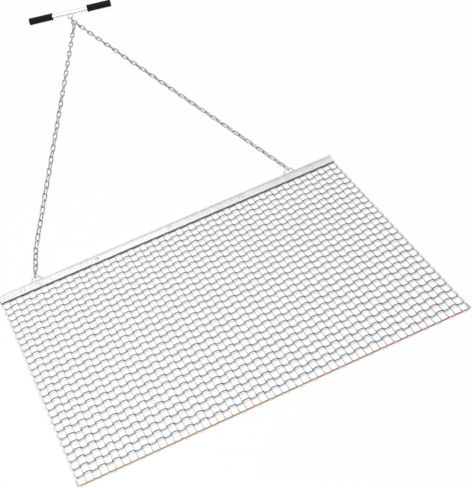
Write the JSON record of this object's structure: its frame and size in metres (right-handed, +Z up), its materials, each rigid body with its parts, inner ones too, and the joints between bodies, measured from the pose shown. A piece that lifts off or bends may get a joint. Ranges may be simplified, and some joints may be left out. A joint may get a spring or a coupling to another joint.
{
  "type": "drag mat",
  "caption": "Flat-wire steel drag mat with a clamped angle-iron front bar, a two-leg pull chain and a T handle with rubber grips, for levelling soil and raking fields by hand.",
  "frame": {"origin": "on the clamp strip's flat underside, in the middle of the bar's length, 11 mm ahead of the rivet line", "axes": "+X along the front bar, to the right seen from the mat looking towards the handle; +Y from the mat to the handle; +Z up from the ground"},
  "size_m": [1.529, 3.6478, 0.0565],
  "materials": {
    "galvanised_steel": "bright galvanised, with a faint spangle",
    "bare_steel": "plain rolled flat wire and rod, satin",
    "zinc_steel": "bright zinc plating",
    "orange_paint": "orange-red primer paint, satin",
    "bright_tube": "bright plated tube",
    "black_rubber": "matt black moulded rubber"
  },
  "bodies": {
    "bar": {"front_bar": "galvanised_steel", "clamp_strip": "galvanised_steel", "front_row": "bare_steel", "rivet_1": "zinc_steel", "rivet_2": "zinc_steel", "rivet_3": "zinc_steel", "rivet_4": "zinc_steel", "rivet_5": "zinc_steel", "left_pull_loop": "galvanised_steel", "right_pull_loop": "galvanised_steel"},
    "mesh_row_01": {"mesh_row_01": "bare_steel"},
    "mesh_row_02": {"mesh_row_02": "bare_steel"},
    "mesh_row_03": {"mesh_row_03": "bare_steel"},
    "mesh_row_04": {"mesh_row_04": "bare_steel"},
    "mesh_row_05": {"mesh_row_05": "bare_steel"},
    "mesh_row_06": {"mesh_row_06": "bare_steel"},
    "mesh_row_07": {"mesh_row_07": "bare_steel"},
    "mesh_row_08": {"mesh_row_08": "bare_steel"},
    "mesh_row_09": {"mesh_row_09": "bare_steel"},
    "mesh_row_10": {"mesh_row_10": "bare_steel"},
    "mesh_row_11": {"mesh_row_11": "bare_steel"},
    "mesh_row_12": {"mesh_row_12": "bare_steel"},
    "mesh_row_13": {"mesh_row_13": "bare_steel"},
    "mesh_row_14": {"mesh_row_14": "bare_steel"},
    "mesh_row_15": {"mesh_row_15": "bare_steel"},
    "mesh_row_16": {"mesh_row_16": "bare_steel"},
    "mesh_row_17": {"mesh_row_17": "bare_steel"},
    "mesh_row_18": {"mesh_row_18": "bare_steel"},
    "mesh_row_19": {"mesh_row_19": "bare_steel"},
    "mesh_row_20": {"mesh_row_20": "bare_steel"},
    "mesh_row_21": {"mesh_row_21": "bare_steel"},
    "mesh_row_22": {"mesh_row_22": "bare_steel"},
    "mesh_row_23": {"mesh_row_23": "bare_steel"},
    "mesh_row_24": {"mesh_row_24": "bare_steel"},
    "mesh_row_25": {"mesh_row_25": "bare_steel"},
    "mesh_row_26": {"mesh_row_26": "bare_steel"},
    "mesh_row_27": {"mesh_row_27": "bare_steel", "rear_rod": "orange_paint"},
    "left_end_link": {"left_end_link": "zinc_steel"},
    "left_chain_1": {"left_chain_1": "zinc_steel"},
    "left_chain_2": {"left_chain_2": "zinc_steel"},
    "left_chain_3": {"left_chain_3": "zinc_steel"},
    "left_chain_4": {"left_chain_4": "zinc_steel"},
    "left_chain_5": {"left_chain_5": "zinc_steel"},
    "left_chain_6": {"left_chain_6": "zinc_steel"},
    "right_end_link": {"right_end_link": "zinc_steel"},
    "right_chain_1": {"right_chain_1": "zinc_steel"},
    "right_chain_2": {"right_chain_2": "zinc_steel"},
    "right_chain_3": {"right_chain_3": "zinc_steel"},
    "right_chain_4": {"right_chain_4": "zinc_steel"},
    "right_chain_5": {"right_chain_5": "zinc_steel"},
    "right_chain_6": {"right_chain_6": "zinc_steel"},
    "apex_link": {"apex_link": "zinc_steel"},
    "handle_link": {"handle_link": "zinc_steel"},
    "handle": {"u_bolt": "zinc_steel", "u_bolt_nut_1": "zinc_steel", "u_bolt_nut_2": "zinc_steel", "handle_tube": "bright_tube", "left_grip": "black_rubber", "right_grip": "black_rubber"}
  },
  "joints": [
    {"name": "mat_roll_01", "type": "hinge", "parent": "bar", "child": "mesh_row_01", "pos_m": [0, -0.027, 0.0083], "axis": [-1, 0, 0], "range_deg": [0, 6.5]},
    {"name": "mat_roll_02", "type": "hinge", "parent": "mesh_row_01", "child": "mesh_row_02", "pos_m": [0, -0.07088, 0.005], "axis": [-1, 0, 0], "range_deg": [0, 6.5]},
    {"name": "mat_roll_03", "type": "hinge", "parent": "mesh_row_02", "child": "mesh_row_03", "pos_m": [0, -0.11488, 0.005], "axis": [-1, 0, 0], "range_deg": [0, 6.5]},
    {"name": "mat_roll_04", "type": "hinge", "parent": "mesh_row_03", "child": "mesh_row_04", "pos_m": [0, -0.15888, 0.005], "axis": [-1, 0, 0], "range_deg": [0, 6.5]},
    {"name": "mat_roll_05", "type": "hinge", "parent": "mesh_row_04", "child": "mesh_row_05", "pos_m": [0, -0.20288, 0.005], "axis": [-1, 0, 0], "range_deg": [0, 6.5]},
    {"name": "mat_roll_06", "type": "hinge", "parent": "mesh_row_05", "child": "mesh_row_06", "pos_m": [0, -0.24688, 0.005], "axis": [-1, 0, 0], "range_deg": [0, 6.5]},
    {"name": "mat_roll_07", "type": "hinge", "parent": "mesh_row_06", "child": "mesh_row_07", "pos_m": [0, -0.29088, 0.005], "axis": [-1, 0, 0], "range_deg": [0, 6.5]},
    {"name": "mat_roll_08", "type": "hinge", "parent": "mesh_row_07", "child": "mesh_row_08", "pos_m": [0, -0.33488, 0.005], "axis": [-1, 0, 0], "range_deg": [0, 6.5]},
    {"name": "mat_roll_09", "type": "hinge", "parent": "mesh_row_08", "child": "mesh_row_09", "pos_m": [0, -0.37888, 0.005], "axis": [-1, 0, 0], "range_deg": [0, 6.5]},
    {"name": "mat_roll_10", "type": "hinge", "parent": "mesh_row_09", "child": "mesh_row_10", "pos_m": [0, -0.42288, 0.005], "axis": [-1, 0, 0], "range_deg": [0, 6.5]},
    {"name": "mat_roll_11", "type": "hinge", "parent": "mesh_row_10", "child": "mesh_row_11", "pos_m": [0, -0.46688, 0.005], "axis": [-1, 0, 0], "range_deg": [0, 6.5]},
    {"name": "mat_roll_12", "type": "hinge", "parent": "mesh_row_11", "child": "mesh_row_12", "pos_m": [0, -0.51088, 0.005], "axis": [-1, 0, 0], "range_deg": [0, 6.5]},
    {"name": "mat_roll_13", "type": "hinge", "parent": "mesh_row_12", "child": "mesh_row_13", "pos_m": [0, -0.55488, 0.005], "axis": [-1, 0, 0], "range_deg": [0, 6.5]},
    {"name": "mat_roll_14", "type": "hinge", "parent": "mesh_row_13", "child": "mesh_row_14", "pos_m": [0, -0.59888, 0.005], "axis": [-1, 0, 0], "range_deg": [0, 6.5]},
    {"name": "mat_roll_15", "type": "hinge", "parent": "mesh_row_14", "child": "mesh_row_15", "pos_m": [0, -0.64288, 0.005], "axis": [-1, 0, 0], "range_deg": [0, 6.5]},
    {"name": "mat_roll_16", "type": "hinge", "parent": "mesh_row_15", "child": "mesh_row_16", "pos_m": [0, -0.68688, 0.005], "axis": [-1, 0, 0], "range_deg": [0, 6.5]},
    {"name": "mat_roll_17", "type": "hinge", "parent": "mesh_row_16", "child": "mesh_row_17", "pos_m": [0, -0.73088, 0.005], "axis": [-1, 0, 0], "range_deg": [0, 6.5]},
    {"name": "mat_roll_18", "type": "hinge", "parent": "mesh_row_17", "child": "mesh_row_18", "pos_m": [0, -0.77488, 0.005], "axis": [-1, 0, 0], "range_deg": [0, 6.5]},
    {"name": "mat_roll_19", "type": "hinge", "parent": "mesh_row_18", "child": "mesh_row_19", "pos_m": [0, -0.81888, 0.005], "axis": [-1, 0, 0], "range_deg": [0, 6.5]},
    {"name": "mat_roll_20", "type": "hinge", "parent": "mesh_row_19", "child": "mesh_row_20", "pos_m": [0, -0.86288, 0.005], "axis": [-1, 0, 0], "range_deg": [0, 6.5]},
    {"name": "mat_roll_21", "type": "hinge", "parent": "mesh_row_20", "child": "mesh_row_21", "pos_m": [0, -0.90688, 0.005], "axis": [-1, 0, 0], "range_deg": [0, 6.5]},
    {"name": "mat_roll_22", "type": "hinge", "parent": "mesh_row_21", "child": "mesh_row_22", "pos_m": [0, -0.95088, 0.005], "axis": [-1, 0, 0], "range_deg": [0, 6.5]},
    {"name": "mat_roll_23", "type": "hinge", "parent": "mesh_row_22", "child": "mesh_row_23", "pos_m": [0, -0.99488, 0.005], "axis": [-1, 0, 0], "range_deg": [0, 6.5]},
    {"name": "mat_roll_24", "type": "hinge", "parent": "mesh_row_23", "child": "mesh_row_24", "pos_m": [0, -1.03888, 0.005], "axis": [-1, 0, 0], "range_deg": [0, 6.5]},
    {"name": "mat_roll_25", "type": "hinge", "parent": "mesh_row_24", "child": "mesh_row_25", "pos_m": [0, -1.08288, 0.005], "axis": [-1, 0, 0], "range_deg": [0, 6.5]},
    {"name": "mat_roll_26", "type": "hinge", "parent": "mesh_row_25", "child": "mesh_row_26", "pos_m": [0, -1.12688, 0.005], "axis": [-1, 0, 0], "range_deg": [0, 6.5]},
    {"name": "mat_roll_27", "type": "hinge", "parent": "mesh_row_26", "child": "mesh_row_27", "pos_m": [0, -1.17088, 0.005], "axis": [-1, 0, 0], "range_deg": [0, 6.5]},
    {"name": "left_lift", "type": "hinge", "parent": "bar", "child": "left_end_link", "pos_m": [-0.592, 0.01252, 0.0433], "axis": [1, 0, 0], "range_deg": [0, 50]},
    {"name": "left_swing", "type": "hinge", "parent": "left_end_link", "child": "left_chain_1", "pos_m": [-0.58175, 0.05764, 0.03514], "axis": [0, 0, 1], "range_deg": [0, 20]},
    {"name": "left_fold_2", "type": "hinge", "parent": "left_chain_1", "child": "left_chain_2", "pos_m": [-0.53641, 0.25719, 0.0115], "axis": [0.996, -0.0891, 0], "range_deg": [0, 22]},
    {"name": "left_fold_3", "type": "hinge", "parent": "left_chain_2", "child": "left_chain_3", "pos_m": [-0.392, 0.64305, 0.0115], "axis": [0.996, -0.0888, 0], "range_deg": [0, 25]},
    {"name": "left_fold_4", "type": "hinge", "parent": "left_chain_3", "child": "left_chain_4", "pos_m": [-0.24759, 1.02892, 0.0115], "axis": [0.9961, -0.0884, 0], "range_deg": [0, 25]},
    {"name": "left_fold_5", "type": "hinge", "parent": "left_chain_4", "child": "left_chain_5", "pos_m": [-0.10318, 1.41478, 0.0115], "axis": [0.9962, -0.0874, 0], "range_deg": [0, 25]},
    {"name": "left_fold_6", "type": "hinge", "parent": "left_chain_5", "child": "left_chain_6", "pos_m": [0.04123, 1.80064, 0.0115], "axis": [0.9964, -0.0848, 0], "range_deg": [0, 25]},
    {"name": "right_lift", "type": "hinge", "parent": "bar", "child": "right_end_link", "pos_m": [0.565, 0.01252, 0.0433], "axis": [1, 0, 0], "range_deg": [0, 50]},
    {"name": "right_swing", "type": "hinge", "parent": "right_end_link", "child": "right_chain_1", "pos_m": [0.56379, 0.05877, 0.03514], "axis": [0, 0, -1], "range_deg": [0, 20]},
    {"name": "right_fold_2", "type": "hinge", "parent": "right_chain_1", "child": "right_chain_2", "pos_m": [0.56117, 0.15899, 0.0115], "axis": [0.996, -0.0891, 0], "range_deg": [0, 22]},
    {"name": "right_fold_3", "type": "hinge", "parent": "right_chain_2", "child": "right_chain_3", "pos_m": [0.48848, 0.56452, 0.0115], "axis": [0.996, -0.0888, 0], "range_deg": [0, 25]},
    {"name": "right_fold_4", "type": "hinge", "parent": "right_chain_3", "child": "right_chain_4", "pos_m": [0.41579, 0.97006, 0.0115], "axis": [0.9961, -0.0884, 0], "range_deg": [0, 25]},
    {"name": "right_fold_5", "type": "hinge", "parent": "right_chain_4", "child": "right_chain_5", "pos_m": [0.34311, 1.3756, 0.0115], "axis": [0.9962, -0.0874, 0], "range_deg": [0, 25]},
    {"name": "right_fold_6", "type": "hinge", "parent": "right_chain_5", "child": "right_chain_6", "pos_m": [0.27042, 1.78114, 0.0115], "axis": [0.9964, -0.0848, 0], "range_deg": [0, 25]},
    {"name": "apex_tilt", "type": "hinge", "parent": "left_chain_6", "child": "apex_link", "pos_m": [0.19137, 2.18313, 0.0135], "axis": [1, 0, 0], "range_deg": [0, 60]},
    {"name": "handle_link_tilt", "type": "hinge", "parent": "apex_link", "child": "handle_link", "pos_m": [0.19137, 2.22772, 0.0135], "axis": [1, 0, 0], "range_deg": [0, 60]},
    {"name": "handle_turn", "type": "hinge", "parent": "handle_link", "child": "handle", "pos_m": [0.18945, 2.26433, 0.0213], "axis": [0, 0, 1], "range_deg": [-25, 25]}
  ],
  "couplings": [
    {"joint": "mat_roll_02", "follows": "mat_roll_01", "ratio": 1},
    {"joint": "mat_roll_03", "follows": "mat_roll_01", "ratio": 1},
    {"joint": "mat_roll_04", "follows": "mat_roll_01", "ratio": 1},
    {"joint": "mat_roll_05", "follows": "mat_roll_01", "ratio": 1},
    {"joint": "mat_roll_06", "follows": "mat_roll_01", "ratio": 1},
    {"joint": "mat_roll_07", "follows": "mat_roll_01", "ratio": 1},
    {"joint": "mat_roll_08", "follows": "mat_roll_01", "ratio": 1},
    {"joint": "mat_roll_09", "follows": "mat_roll_01", "ratio": 1},
    {"joint": "mat_roll_11", "follows": "mat_roll_10", "ratio": 1},
    {"joint": "mat_roll_12", "follows": "mat_roll_10", "ratio": 1},
    {"joint": "mat_roll_13", "follows": "mat_roll_10", "ratio": 1},
    {"joint": "mat_roll_14", "follows": "mat_roll_10", "ratio": 1},
    {"joint": "mat_roll_15", "follows": "mat_roll_10", "ratio": 1},
    {"joint": "mat_roll_16", "follows": "mat_roll_10", "ratio": 1},
    {"joint": "mat_roll_17", "follows": "mat_roll_10", "ratio": 1},
    {"joint": "mat_roll_18", "follows": "mat_roll_10", "ratio": 1},
    {"joint": "mat_roll_20", "follows": "mat_roll_19", "ratio": 1},
    {"joint": "mat_roll_21", "follows": "mat_roll_19", "ratio": 1},
    {"joint": "mat_roll_22", "follows": "mat_roll_19", "ratio": 1},
    {"joint": "mat_roll_23", "follows": "mat_roll_19", "ratio": 1},
    {"joint": "mat_roll_24", "follows": "mat_roll_19", "ratio": 1},
    {"joint": "mat_roll_25", "follows": "mat_roll_19", "ratio": 1},
    {"joint": "mat_roll_26", "follows": "mat_roll_19", "ratio": 1},
    {"joint": "mat_roll_27", "follows": "mat_roll_19", "ratio": 1},
    {"joint": "right_fold_2", "follows": "left_fold_2", "ratio": 1},
    {"joint": "right_fold_3", "follows": "left_fold_3", "ratio": 1},
    {"joint": "right_fold_4", "follows": "left_fold_4", "ratio": 1},
    {"joint": "right_fold_5", "follows": "left_fold_5", "ratio": 1},
    {"joint": "right_fold_6", "follows": "left_fold_6", "ratio": 1},
    {"joint": "right_lift", "follows": "left_lift", "ratio": 1}
  ]
}
